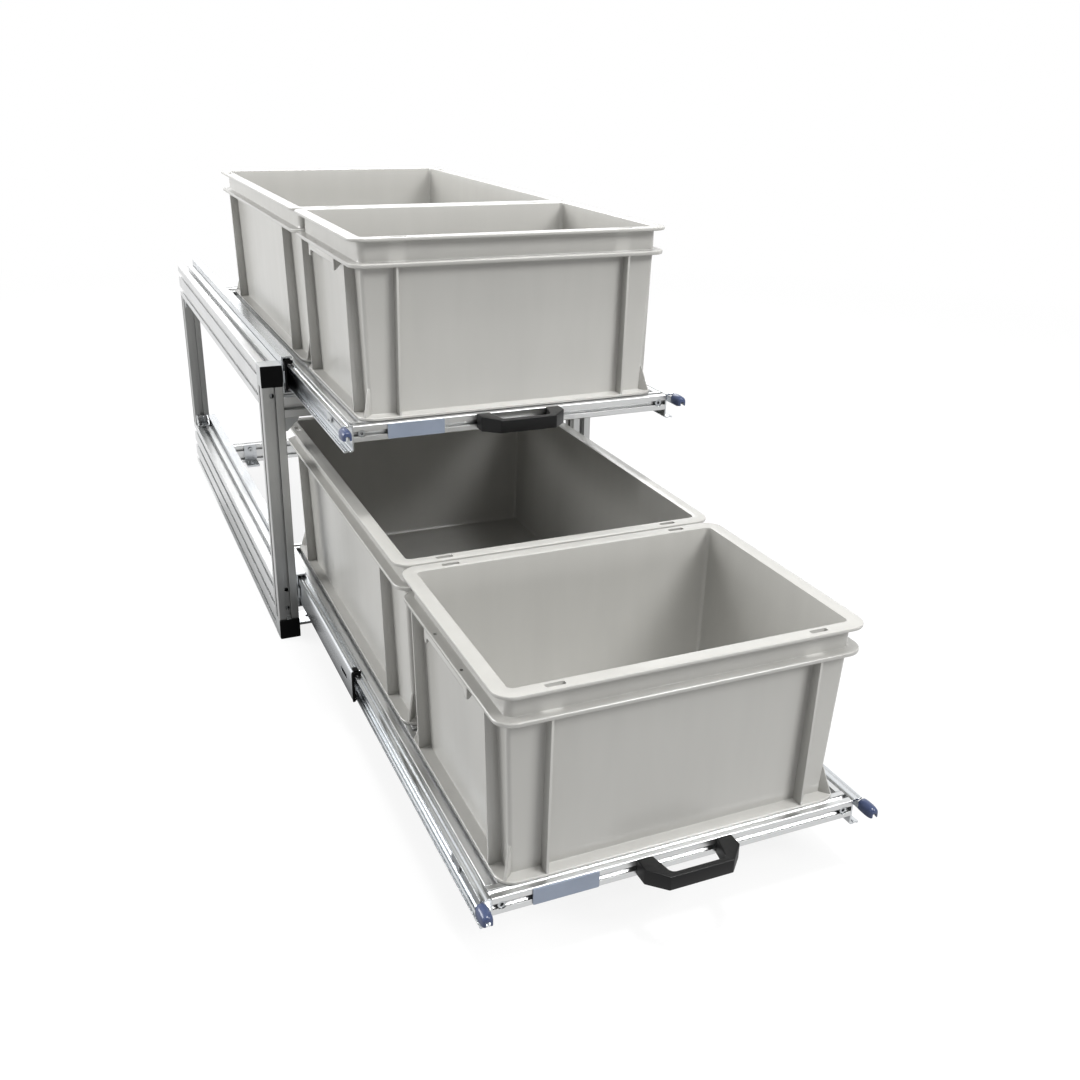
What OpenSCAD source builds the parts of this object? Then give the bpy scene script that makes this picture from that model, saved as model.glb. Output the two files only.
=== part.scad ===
// Pull-out bin frame: an aluminium slot-profile frame with two bin trays on full-extension
// locking slides. Millimetres, +Z up, drawers pull out towards -Y.

/* [Bins] */
// Width of every bin across the drawer
bin_w = 400; // [350:1:500]
// Length of the front bin
bin_front_l = 300; // [200:1:400]
// Length of the rear bin
bin_rear_l = 600; // [400:1:700]
// Height of a bin from its foot to its rim
bin_h = 220; // [120:1:320]
// Gap between the two bins of a drawer
bin_gap = 4; // [2:0.5:10]
// Width of the flat rim
rim_w = 16; // [12:0.5:22]
// Thickness of the rim
rim_t = 4; // [3:0.5:6]
// Height of the second flange's underside below the rim's top
collar_drop = 33; // [26:0.5:45]
// Thickness of the second flange
collar_t = 5; // [3:0.5:8]
// Wall thickness of the bins
bin_wall = 3.5; // [2.5:0.1:5]
// Outer corner radius of the rim
rim_r = 20; // [12:0.5:28]
// Height of the foot that drops between the tray bars
foot_h = 10; // [6:0.5:14]
// Distance of the foot inside the rim's outline
foot_in = 18; // [17:0.5:24]
// Thickness of the bin's floor
floor_t = 3.5; // [2.5:0.5:6]
// Length of the lid slots in the rim
lid_slot_l = 20; // [10:1:30]
// Width of the lid slots in the rim
lid_slot_w = 6; // [4:0.5:8]
// Distance of the lid slots' middle from the rim's corner
lid_slot_in = 58; // [45:1:70]
// Distance of a rib from the bin's centre as a part of the bin's width or length
rib_part = 0.365; // [0.33:0.005:0.4]
// Length of the hand grip on a bin's short side
grip_l = 130; // [80:1:160]
// Height of the hand grip's hanging lip
grip_lip_h = 6; // [4:0.5:10]
// Height of the tabs at the hand grip's ends
grip_tab_h = 14; // [11:0.5:25]

/* [Frame profiles] */
// Side of the frame's square profile
profile = 30; // [30:1:40]
// Number of slots, one above the other, in the lower side rails
rail_low_n = 3; // [2:1:4]
// Number of slots, one above the other, in the upper side rails
rail_up_n = 2; // [2:1:3]
// Opening of the frame profile's slots
slot_open = 8.2; // [6:0.1:10]
// Thickness of the lips beside the frame profile's slots
slot_lip = 2; // [1.5:0.1:3]
// Width of the frame profile's slots under the lips
slot_under = 16.5; // [14:0.1:18]
// Depth of the frame profile's slots
slot_deep = 9; // [8:0.1:10]
// Bore in the core of the frame profile
core_bore = 6.8; // [6:0.1:8]
// Free height between the lower bins' rims and the front crossbar
head_room = 44; // [30:1:120]
// Gap between the front crossbar and the upper slides
bar_gap = 4.5; // [2:0.5:20]
// Height of the rear crossbar on the floor
floor_bar_h = 40; // [40:1:44]
// Distance of the floor crossbar's rear face from the frame's rear end
floor_bar_in = 30; // [26:1:80]
// Wall thickness of the corner cubes
cube_wall = 5; // [4:0.5:6]
// Thickness of the cube covers
cover_t = 2.5; // [1.5:0.1:4]

/* [Tray profiles] */
// Side of the tray's square profile
bar = 20; // [20:1:24]
// Opening of the tray profile's slots
bar_open = 6; // [5:0.1:7]
// Thickness of the lips beside the tray profile's slots
bar_lip = 1.6; // [1.4:0.1:2]
// Width of the tray profile's slots under the lips
bar_under = 11; // [10:0.1:12]
// Depth of the tray profile's slots
bar_deep = 6; // [5.5:0.1:6.5]
// Bore in the core of the tray profile
bar_bore = 4.3; // [4:0.1:4.5]
// Width of the tray beside the bins' rims, on each side
tray_side = 6; // [4:0.5:15]
// Depth of the tray in front of and behind the bins' rims
tray_end = 3; // [3:0.5:15]
// Height of the tray bars' centre above the slides' centre
tray_rise = 5; // [5:0.5:8]
// Distance that a closed tray stands out in front of the frame
tray_lead = 10; // [6:0.5:20]

/* [Slides] */
// Height of a slide's outer member
slide_h = 53; // [50:0.5:60]
// Thickness of a closed slide
slide_t = 19; // [19:0.1:22]
// Sheet thickness of the outer member
outer_t = 2.2; // [1.8:0.1:2.6]
// Sheet thickness of the middle and inner members
sheet_t = 2; // [1.6:0.1:2.2]
// Gap between the webs of the outer and middle members
web_gap = 1; // [0.8:0.1:1.2]
// Diameter of the balls
ball_d = 2.8; // [2.4:0.1:3.2]
// Running clearance between a ball and each of its two races
ball_play = 0.1; // [0.05:0.01:0.2]
// Length by which a full pull is shorter than the slide
travel_short = 10; // [6:1:60]
// Length of a ball cage as a part of the slide's length
cage_part = 0.478; // [0.4:0.001:0.48]
// Number of balls in one row of a cage
ball_n = 8; // [4:1:20]
// Number of screws along each outer member
outer_screw_n = 5; // [3:1:8]
// Number of screws along each inner member
inner_screw_n = 4; // [3:1:6]

/* [Drawers as shown] */
// How far the lower drawer's middle members are out
low_mid_out = 308; // [0:1:440]
// How far the upper drawer is out of its middle members
up_tray_out = 305; // [0:1:440]

/* [Handles, levers and plates] */
// Outer width of a handle
handle_w = 108; // [90:1:140]
// Distance of the handle's front from the tray's front bar
handle_out = 36; // [32:0.5:50]
// Height of a handle
handle_h = 18; // [14:0.5:20]
// Depth of the handle's grip bar
handle_bar = 7; // [5:0.5:10]
// Width of a handle's foot
handle_foot = 17; // [14:0.5:20]
// Length of a lever's grip
lever_grip_l = 21.5; // [18:0.5:30]
// Distance of the lever's pivot behind the tray's front
lever_pivot = 60; // [50:1:80]
// Width of the label plates
label_w = 70; // [50:1:90]
// Height of the label plates
label_h = 18; // [14:0.5:20]
// Distance of the label plates' centre from the tray's left side
label_side = 76; // [60:1:80]

/* [Brackets and fasteners] */
// Leg length of the joining brackets
leg = 20; // [18:0.5:20]
// Width of the joining brackets
brk_w = 24; // [22:0.5:26]
// Sheet thickness of the joining brackets
brk_t = 3; // [2:0.5:4]
// Width of the rear floor brackets
floor_brk_w = 26; // [22:0.5:40]
// Distance of the rear floor brackets from the centre line
floor_brk_x = 149; // [100:1:170]
// Length of the floor brackets' lying leg
floor_leg = 35; // [32:0.5:40]
// Diameter of the bolt holes in the floor brackets
floor_hole = 8.5; // [6:0.1:11]
// Diameter of the key holes across the front posts
key_hole = 7; // [5:0.5:8]
// Clearance around a screw in its hole
hole_play = 0.2; // [0.1:0.05:0.4]
// Clearance between a screw and the thread that it sits in, threads being drawn smooth
thread_play = 0.05; // [0.02:0.01:0.08]

/* [Hidden] */
$fn = 32;

// Sizes that follow from the bins
tray_w = bin_w + 2 * tray_side;
tray_l = bin_front_l + bin_gap + bin_rear_l + 2 * tray_end;
inner_w = tray_w + 2 * slide_t;
xi = inner_w / 2;
xc = xi + profile / 2;
slide_l = tray_l - tray_lead;
depth = slide_l;
stage = (slide_l - travel_short) / 2;

// Heights
low_z = (rail_low_n - 0.5) * profile;
rail_low_h = rail_low_n * profile;
rail_up_h = rail_up_n * profile;
low_top = low_z + tray_rise + bar / 2;
rim_z = low_top + bin_h - foot_h;
bar_z = rim_z + head_room;
up_z = bar_z + profile + bar_gap + slide_h / 2;
frame_h = up_z + profile / 2;

// Places along Y, the frame's front being 0 before everything moves by y_off
low_mid_y = -low_mid_out;
up_mid_y = 0;
low_tray_y = low_mid_y - stage - tray_lead;
up_tray_y = up_mid_y - up_tray_out - tray_lead;
y_off = -(depth + min(low_tray_y, up_tray_y) - handle_out) / 2;

// Slide section: distances from the frame's inner face towards the tray, and half heights
mid_s = outer_t + web_gap;
race = ball_d + 2 * ball_play;
outer_in = slide_h / 2 - outer_t;
mid_out = outer_in - race;
mid_in = mid_out - sheet_t;
inner_out = mid_in - race;
inner_in = inner_out - sheet_t;
outer_s = slide_t - 4;
mid_e = slide_t - 2.6;
inner_b = mid_s + sheet_t + 1.8;
outer_ball_s = mid_s + 6.3;
inner_ball_s = inner_b + 4.5;
cage_l = cage_part * slide_l;
cage_y = (slide_l - cage_l) / 2;

// Lever
strip_s = inner_b + 2.5;
strip_t = 2;
strip_lo = 3;
strip_hi = 11;
pivot_z = (strip_lo + strip_hi) / 2;

// Screws
shank = 4.9;
head_d = 9.6;
core_shank = core_bore - 2 * thread_play;
bar_shank = bar_bore - 2 * thread_play;

silver = [0.78, 0.79, 0.8];
zinc = [0.7, 0.72, 0.74];
grey = [0.69, 0.69, 0.67];
black = [0.08, 0.08, 0.09];
blue = [0.25, 0.3, 0.46];

module along_y(l) translate([0, l, 0]) rotate([90, 0, 0]) linear_extrude(l) children();
module along_x(l) rotate([90, 0, 90]) linear_extrude(l) children();
module both() { children(); mirror([1, 0, 0]) children(); }
module rod_y(d, l) rotate([-90, 0, 0]) cylinder(d = d, h = l);
module rod_x(d, l) rotate([0, 90, 0]) cylinder(d = d, h = l);

// Rectangle with round corners, its lower left corner at the origin
module round_rect(w, h, r) {
    translate([r, 0]) square([w - 2 * r, h]);
    translate([0, r]) square([w, h - 2 * r]);
    for (x = [r, w - r], y = [r, h - r]) translate([x, y]) circle(r = r);
}

// Section of one slot, opening upwards at y = 0
module slot_2d(o, lip, u, d) polygon([[-o / 2, 1], [-o / 2, -lip], [-u / 2, -lip],
    [-u / 2, -lip - 1.1], [-u / 4, -d], [u / 4, -d], [u / 2, -lip - 1.1], [u / 2, -lip],
    [o / 2, -lip], [o / 2, 1]]);

// Slot profile of a by b cells, centred on the origin
module profile_2d(a, b, p, o, lip, u, d, bore) difference() {
    translate([-a * p / 2, -b * p / 2]) round_rect(a * p, b * p, 1.2);
    for (i = [0:a - 1], s = [0, 180]) rotate(s)
        translate([(i - (a - 1) / 2) * p, b * p / 2]) slot_2d(o, lip, u, d);
    for (j = [0:b - 1], s = [0, 180]) rotate(s)
        translate([a * p / 2, (j - (b - 1) / 2) * p]) rotate(-90) slot_2d(o, lip, u, d);
    for (i = [0:a - 1], j = [0:b - 1])
        translate([(i - (a - 1) / 2) * p, (j - (b - 1) / 2) * p]) circle(d = bore);
    if (b > 1) for (j = [1:b - 1]) translate([0, (j - b / 2) * p])
        polygon([[-p / 5, 0], [-p / 12, p / 7], [p / 12, p / 7], [p / 5, 0],
            [p / 12, -p / 7], [-p / 12, -p / 7]]);
}
module big(b = 1) profile_2d(1, b, profile, slot_open, slot_lip, slot_under, slot_deep, core_bore);
module small(b = 1) profile_2d(1, b, bar, bar_open, bar_lip, bar_under, bar_deep, bar_bore);

// Heights of the screws that hold the rails from the front posts' rear slots; a key reaches each
// one through a hole across the post
function post_screw_z() = concat([for (i = [1:rail_low_n - 1]) (i + 0.5) * profile],
    [for (i = [1:rail_up_n - 1]) frame_h - (i + 0.5) * profile]);

module front_posts() placed() color(silver) both() difference() {
    translate([xc, profile / 2, profile]) linear_extrude(frame_h - 2 * profile) big();
    for (z = post_screw_z()) translate([xc, -1, z]) rod_y(key_hole, profile + 2);
}
module rear_posts() placed() color(silver) both()
    translate([xc, depth - profile / 2, rail_low_h])
        linear_extrude(frame_h - rail_low_h - rail_up_h) big();
module lower_rail() color(silver)
    translate([xc, profile, rail_low_h / 2]) along_y(depth - profile) big(rail_low_n);
module upper_rail() color(silver)
    translate([xc, profile, frame_h - rail_up_h / 2]) along_y(depth - profile) big(rail_up_n);
module lower_rail_right() placed() lower_rail();
module lower_rail_left() placed() mirror([1, 0, 0]) lower_rail();
module upper_rail_right() placed() upper_rail();
module upper_rail_left() placed() mirror([1, 0, 0]) upper_rail();
module front_crossbar() placed() color(silver)
    translate([-xi, profile / 2, bar_z + profile / 2]) along_x(inner_w) big();
module rear_upper_crossbar() placed() color(silver)
    translate([-xi, depth - profile / 2, bar_z + profile / 2]) along_x(inner_w) big();
floor_bar_y = depth - floor_bar_in - bar;
module rear_lower_crossbar() placed() color(silver)
    translate([-xi, floor_bar_y + bar / 2, floor_bar_h / 2]) along_x(inner_w)
        profile_2d(1, 2, floor_bar_h / 2, bar_open, bar_lip, bar_under, bar_deep, bar_bore);

// Corner cubes join post and rail; each is open at the front under its cover
module cube_at(top) translate([xi, 0, top ? frame_h - profile : 0]) children();
module corner_cubes() placed() color(silver) both() for (top = [false, true]) cube_at(top) difference() {
    cube([profile, profile, profile]);
    translate([cube_wall, -1, cube_wall])
        cube([profile - 2 * cube_wall, profile - cube_wall + 1, profile - 2 * cube_wall]);
    translate([profile / 2, profile / 2, profile / 2]) rod_y(8 + 2 * hole_play, profile);
    translate([profile / 2, profile / 2, profile / 2]) rotate([top ? 180 : 0, 0, 0])
        cylinder(d = 8 + 2 * hole_play, h = profile);
}
module cube_covers() placed() color(black) both() for (top = [false, true]) cube_at(top) {
    rotate([90, 0, 0]) linear_extrude(cover_t) round_rect(profile, profile, 1.5);
    translate([cube_wall + 0.2, -0.5, cube_wall + 0.2]) difference() {
        cube([profile - 2 * cube_wall - 0.4, 5.5, profile - 2 * cube_wall - 0.4]);
        translate([2, 0.5, 2]) cube([profile - 2 * cube_wall - 4.4, 6, profile - 2 * cube_wall - 4.4]);
    }
}
module frame_screws() placed() color(zinc) both() {
    for (z = post_screw_z()) translate([xc, profile - slot_lip, z]) difference() {
        union() {
            translate([0, -4.4, 0]) rod_y(slot_under * 0.62, 4.4);
            rod_y(core_shank, slot_lip + 20);
        }
        translate([0, -5, 0]) rod_y(5, 3.6);
    }
    for (top = [false, true]) cube_at(top) {
        translate([profile / 2, profile - cube_wall - 4, profile / 2]) {
            rod_y(11, 4);
            rod_y(core_shank, 4 + cube_wall + 20);
        }
        translate([profile / 2, profile / 2, profile / 2]) rotate([top ? 180 : 0, 0, 0])
            translate([0, 0, profile / 2 - cube_wall - 4]) {
                cylinder(d = 11, h = 4);
                cylinder(d = core_shank, h = 4 + cube_wall + 20);
            }
    }
}

// Joining bracket: one leg lies on z = 0 along +Y, the other stands on y = 0 along +Z
module bracket(a = 0, b = 0) difference() {
    union() {
        translate([-brk_w / 2, 0, 0]) cube([brk_w, leg, brk_t]);
        translate([-brk_w / 2, 0, 0]) cube([brk_w, brk_t, leg]);
        for (x = [-brk_w / 2, brk_w / 2 - 2.5]) translate([x, 0, 0]) along_x(2.5)
            polygon([[0, 0], [leg, 0], [leg, brk_t], [brk_t, leg], [0, leg]]);
    }
    translate([a, leg * 0.6, -1]) cylinder(d = shank + 2 * hole_play, h = brk_t + 2);
    translate([b, -1, leg * 0.6]) rod_y(shank + 2 * hole_play, brk_t + 2);
}
module one_screw(t, l = 7.5) {
    translate([0, 0, t]) difference() {
        cylinder(d = head_d, h = 3.2);
        translate([0, 0, 1.4]) cylinder(d = 4, h = 2);
    }
    translate([0, 0, -l]) cylinder(d = shank, h = l + t + 0.5);
}
module bracket_screw(a = 0, b = 0, l = 7.5) {
    translate([a, leg * 0.6, 0]) one_screw(brk_t, l);
    translate([b, 0, leg * 0.6]) rotate([-90, 0, 0]) one_screw(brk_t);
}
// Slot nut under the lips of a slot that opens upwards at z = 0, its length along Y
module nut(small) difference() {
    u = small ? bar_under : slot_under;
    d = small ? bar_deep : slot_deep;
    lip = (small ? bar_lip : slot_lip) + 0.02;
    union() {
        translate([-u / 2 + 0.6, -7, -lip - 1.1]) cube([u - 1.2, 14, 1.1]);
        translate([-u * 0.3, -7, -lip - (small ? 2.6 : 4)]) cube([u * 0.6, 14, small ? 1.6 : 3]);
    }
    translate([0, 0, -d]) cylinder(d = shank + 2 * thread_play, h = d);
}
module bracket_nuts(a = 0, b = 0, small_a = false) {
    translate([a, leg * 0.6, 0]) nut(small_a);
    translate([b, 0, leg * 0.6]) rotate([-90, 0, 0]) nut(false);
}
// Places of the joining brackets on the right-hand side
module at_rear_low() translate([xc, depth - profile, rail_low_h]) mirror([0, 1, 0]) children();
module at_rear_up() translate([xc, depth - profile, frame_h - rail_up_h])
    rotate([180, 0, 0]) children();
module at_bar(y) translate([xi, y, bar_z]) rotate([0, 0, 90]) mirror([0, 0, 1]) children();
module at_floor_bar() translate([xi, floor_bar_y + bar, (floor_bar_h / 4 + profile / 2) / 2])
    multmatrix([[0, -1, 0, 0], [0, 0, 1, 0], [1, 0, 0, 0]]) children();
floor_bar_a = (floor_bar_h / 4 - profile / 2) / 2;
module corner_brackets() placed() color(silver) both() {
    at_rear_low() bracket();
    at_rear_up() bracket();
    for (y = [profile / 2, depth - profile / 2]) at_bar(y) bracket();
    at_floor_bar() bracket(floor_bar_a, -floor_bar_a);
}
module bracket_screws() placed() color(zinc) both() {
    at_rear_low() bracket_screw();
    at_rear_up() bracket_screw();
    for (y = [profile / 2, depth - profile / 2]) at_bar(y) bracket_screw();
    at_floor_bar() bracket_screw(floor_bar_a, -floor_bar_a, bar_deep - 0.5);
    at_front_floor() one_screw(4);
    at_rear_floor() one_screw(4, bar_deep - 0.5);
}

// Floor brackets: behind the front posts and on the floor crossbar
module at_front_floor() translate([xi, profile + 5 + 20, profile / 2]) rotate([0, -90, 0]) children();
module at_rear_floor() translate([floor_brk_x, floor_bar_y, floor_bar_h * 3 / 4])
    rotate([90, 0, 0]) children();
floor_hole_x = xi - 24;
floor_hole_y = floor_bar_y - 20;
module floor_brackets() placed() color(zinc) both() {
    difference() {
        union() {
            translate([xi - floor_leg, profile + 5, 0]) cube([floor_leg, 40, 4]);
            translate([xi - 4, profile + 5, 0]) cube([4, 40, profile - 2]);
        }
        translate([floor_hole_x, profile + 25, -1]) cylinder(d = floor_hole, h = 6);
        at_front_floor() translate([0, 0, -1]) cylinder(d = shank + 2 * hole_play, h = 6);
    }
    difference() {
        union() {
            translate([floor_brk_x - floor_brk_w / 2, floor_bar_y - floor_leg, 0])
                cube([floor_brk_w, floor_leg, 4]);
            translate([floor_brk_x - floor_brk_w / 2, floor_bar_y - 4, 0])
                cube([floor_brk_w, 4, floor_bar_h]);
        }
        translate([floor_brk_x, floor_hole_y, -1]) cylinder(d = floor_hole, h = 6);
        at_rear_floor() translate([0, 0, -1]) cylinder(d = shank + 2 * hole_play, h = 6);
    }
}

// Slide members, drawn for the right-hand side: s runs from the frame towards the tray
module side_2d() translate([xi, 0]) mirror([1, 0]) children();
function outer_screw_y(i) = 45 + i * (slide_l - 90) / (outer_screw_n - 1);
function inner_screw_y(i) = 110 + i * (slide_l - 220) / (inner_screw_n - 1);
module at_outer_screws(z) for (i = [0:outer_screw_n - 1])
    translate([xi, outer_screw_y(i), z]) rotate([0, -90, 0]) children();
module outer_member(z) both() difference() {
    union() {
        translate([0, 0, z]) along_y(slide_l) side_2d() {
            translate([0, -slide_h / 2]) square([outer_t, slide_h]);
            for (m = [0, 1]) mirror([0, m]) {
                translate([0, outer_in]) square([outer_s, outer_t]);
                translate([outer_s - 1, outer_in - 0.8]) square([1, 1]);
            }
        }
        translate([xi - outer_t, -8, z - 8]) cube([outer_t, 9, 16]);
    }
    at_outer_screws(z) {
        translate([0, 0, -0.01]) cylinder(d1 = shank + 2 * hole_play,
            d2 = head_d + 2 * hole_play, h = outer_t + 0.02);
    }
    translate([xi - outer_t - 1, -3.5, z]) rod_x(4, outer_t + 2);
}
module lower_slide_outers() placed() color(zinc) outer_member(low_z);
module upper_slide_outers() placed() color(zinc) outer_member(up_z);
module slide_screws() placed() color(zinc) both() for (z = [low_z, up_z]) at_outer_screws(z) {
    difference() {
        cylinder(d1 = shank, d2 = head_d, h = outer_t);
        translate([0, 0, outer_t - 1]) cylinder(d = 3, h = 2);
    }
    translate([0, 0, -7.5]) cylinder(d = shank, h = 7.6);
}
module slot_nuts() placed() color(zinc) both() {
    for (z = [low_z, up_z]) for (i = [0:outer_screw_n - 1]) if (outer_screw_y(i) > profile)
        translate([xi, outer_screw_y(i), z]) rotate([0, -90, 0]) nut(false);
    at_rear_low() bracket_nuts();
    at_rear_up() bracket_nuts();
    for (y = [profile / 2, depth - profile / 2]) at_bar(y) bracket_nuts();
    at_floor_bar() bracket_nuts(floor_bar_a, -floor_bar_a, true);
    at_front_floor() nut(false);
    at_rear_floor() rotate([0, 0, 90]) nut(true);
}

// Ball cages: a strip with its balls, above and below the member that it carries
module cages(y, z, half, s) both() for (m = [0, 1]) translate([0, y + cage_y, z]) mirror([0, 0, m]) {
    difference() {
        translate([xi - s - 3.5, 0, half + race / 2 - 0.4]) cube([7, cage_l, 0.8]);
        for (i = [0:ball_n - 1]) translate([xi - s, 10 + i * (cage_l - 20) / (ball_n - 1), half])
            cylinder(d = ball_d + 0.2, h = race);
    }
    for (i = [0:ball_n - 1])
        translate([xi - s, 10 + i * (cage_l - 20) / (ball_n - 1), half + race / 2])
            sphere(d = ball_d);
}
module lower_outer_cages() placed() color(zinc) cages(low_mid_y / 2, low_z, mid_out, outer_ball_s);
module upper_outer_cages() placed() color(zinc) cages(up_mid_y / 2, up_z, mid_out, outer_ball_s);
module lower_inner_cages() placed() color(zinc)
    cages(low_mid_y - stage / 2, low_z, inner_out, inner_ball_s);
module upper_inner_cages() placed() color(zinc)
    cages(up_mid_y - up_tray_out / 2, up_z, inner_out, inner_ball_s);

module mid_member(y, z) both() difference() {
    translate([0, y, z]) along_y(slide_l) side_2d() {
        translate([mid_s, -mid_out]) square([sheet_t, 2 * mid_out]);
        for (m = [0, 1]) mirror([0, m]) translate([mid_s, mid_in]) square([mid_e - mid_s, sheet_t]);
    }
    translate([xi - mid_s - sheet_t - 1, y + 26, z - 3]) cube([sheet_t + 2, 30, 6]);
}
module lower_slide_mids() placed() color(zinc) mid_member(low_mid_y, low_z);
module upper_slide_mids() placed() color(zinc) mid_member(up_mid_y, up_z);
module mid_clips(y, z) both() translate([0, y, z]) {
    translate([0, -3, 0]) along_y(3) side_2d() difference() {
        translate([mid_s - 0.6, -mid_out - 2]) square([mid_e - mid_s + 0.6, 2 * mid_out + 4]);
        translate([inner_b - 0.4, -inner_out - 0.4]) square([20, 2 * inner_out + 0.8]);
    }
    for (m = [0, 1]) mirror([0, 0, m]) translate([xi - mid_s - 10, -1, mid_out + 0.02])
        cube([8, 11, 1.9]);
}
module lower_mid_clips() placed() color(black) mid_clips(low_mid_y, low_z);
module upper_mid_clips() placed() color(black) mid_clips(up_mid_y, up_z);

// Inner member with its fixing holes on the tray bars' slots and the slots for the lever
module at_inner_screws(y, z) for (i = [0:inner_screw_n - 1])
    translate([xi - slide_t, y + inner_screw_y(i), z + tray_rise]) rotate([0, 90, 0]) children();
module at_pivot(y, z) translate([xi - strip_s, y + lever_pivot, z + pivot_z])
    rotate([0, -90, 0]) children();
module inner_member(y, z) both() difference() {
    translate([0, y, z]) along_y(slide_l) side_2d() {
        translate([slide_t - sheet_t, -inner_out]) square([sheet_t, 2 * inner_out]);
        for (m = [0, 1]) mirror([0, m])
            translate([inner_b, inner_in]) square([slide_t - inner_b, sheet_t]);
    }
    at_inner_screws(y, z) translate([0, 0, -0.01]) cylinder(d1 = 4 + 2 * hole_play,
        d2 = 8 + 2 * hole_play, h = sheet_t + 0.02);
    at_pivot(y, z) translate([0, 0, slide_t - sheet_t - strip_s - 1])
        cylinder(d = 5 + 2 * thread_play, h = sheet_t + 2);
    for (p = [40, 74]) translate([xi - slide_t - 1, y + p, z - 8]) cube([sheet_t + 2, 14, 5]);
}
module lower_slide_inners() placed() color(zinc) inner_member(low_tray_y, low_z);
module upper_slide_inners() placed() color(zinc) inner_member(up_tray_y, up_z);

// Tray bars: front and rear bars run across, the side bars stand between them
module at_end_screws(y, z) for (e = [0, 1])
    translate([tray_w / 2 - bar / 2, y + e * tray_l, z + tray_rise]) mirror([0, e, 0]) children();
divider_y = tray_end + bin_front_l + bin_gap / 2;
module at_divider_screws(y, z) translate([tray_w / 2, y + divider_y, z + tray_rise])
    rotate([0, 0, 90]) children();
module head_hole() {
    translate([0, -1, 0]) rod_y(9.4, bar_deep + 1);
    rod_y(5 + 2 * hole_play, bar + 1);
}
module cross_bar(y, z) difference() {
    translate([-tray_w / 2, y + bar / 2, z + tray_rise]) along_x(tray_w) small();
    children();
}
module front_bar(y, z) cross_bar(y, z) both() at_end_screws(y, z) head_hole();
module rear_bar(y, z) cross_bar(y + tray_l - bar, z) both() at_end_screws(y, z) head_hole();
module side_bars(y, z) both() difference() {
    translate([tray_w / 2 - bar / 2, y + bar, z + tray_rise]) along_y(tray_l - 2 * bar) small();
    at_divider_screws(y, z) head_hole();
}
module divider_bar(y, z) translate([-tray_w / 2 + bar, y + divider_y, z + tray_rise])
    along_x(tray_w - 2 * bar) small();
module lower_front_bar() placed() color(silver) front_bar(low_tray_y, low_z);
module upper_front_bar() placed() color(silver) front_bar(up_tray_y, up_z);
module lower_rear_bar() placed() color(silver) rear_bar(low_tray_y, low_z);
module upper_rear_bar() placed() color(silver) rear_bar(up_tray_y, up_z);
module lower_side_bars() placed() color(silver) side_bars(low_tray_y, low_z);
module upper_side_bars() placed() color(silver) side_bars(up_tray_y, up_z);
module lower_divider_bar() placed() color(silver) divider_bar(low_tray_y, low_z);
module upper_divider_bar() placed() color(silver) divider_bar(up_tray_y, up_z);

// Handle: a bridge whose corners are cut off in plan
handle_z = tray_rise + 1.5;
handle_x = (handle_w - handle_foot) / 2;
module handle_half() polygon([[0, -handle_out], [handle_w / 2 - handle_out / 2, -handle_out],
    [handle_w / 2, -handle_out * 0.47], [handle_w / 2, 0], [handle_w / 2 - handle_foot, 0],
    [handle_w / 2 - handle_foot - 6, -handle_out + handle_bar + 3],
    [handle_w / 2 - handle_foot - 10, -handle_out + handle_bar], [0, -handle_out + handle_bar]]);
module handle(y, z) translate([0, y, z + handle_z]) both() difference() {
    translate([0, 0, -handle_h / 2]) linear_extrude(handle_h) handle_half();
    translate([handle_x, -handle_out, -1.5]) rod_y(head_d + 0.4, handle_out - 8);
    translate([handle_x, -10, -1.5]) rod_y(5 + 2 * hole_play, 12);
}
module whole_handle(y, z) union() {
    handle(y, z);
    translate([-1, y - handle_out, z + handle_z - handle_h / 2]) cube([2, handle_bar, handle_h]);
}
module lower_handle() placed() color(black) whole_handle(low_tray_y, low_z);
module upper_handle() placed() color(black) whole_handle(up_tray_y, up_z);
module label_plate(y, z) translate([label_side - tray_w / 2, y, z + tray_rise]) {
    translate([-label_w / 2, 0, -label_h / 2]) rotate([90, 0, 0])
        linear_extrude(1.5) round_rect(label_w, label_h, 1.5);
    translate([-label_w / 2 + 2, -0.5, -bar_open / 2 + 0.1]) cube([label_w - 4, 2, bar_open - 0.2]);
}
module lower_label_plate() placed() color([0.55, 0.6, 0.69]) label_plate(low_tray_y, low_z);
module upper_label_plate() placed() color([0.55, 0.6, 0.69]) label_plate(up_tray_y, up_z);

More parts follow.
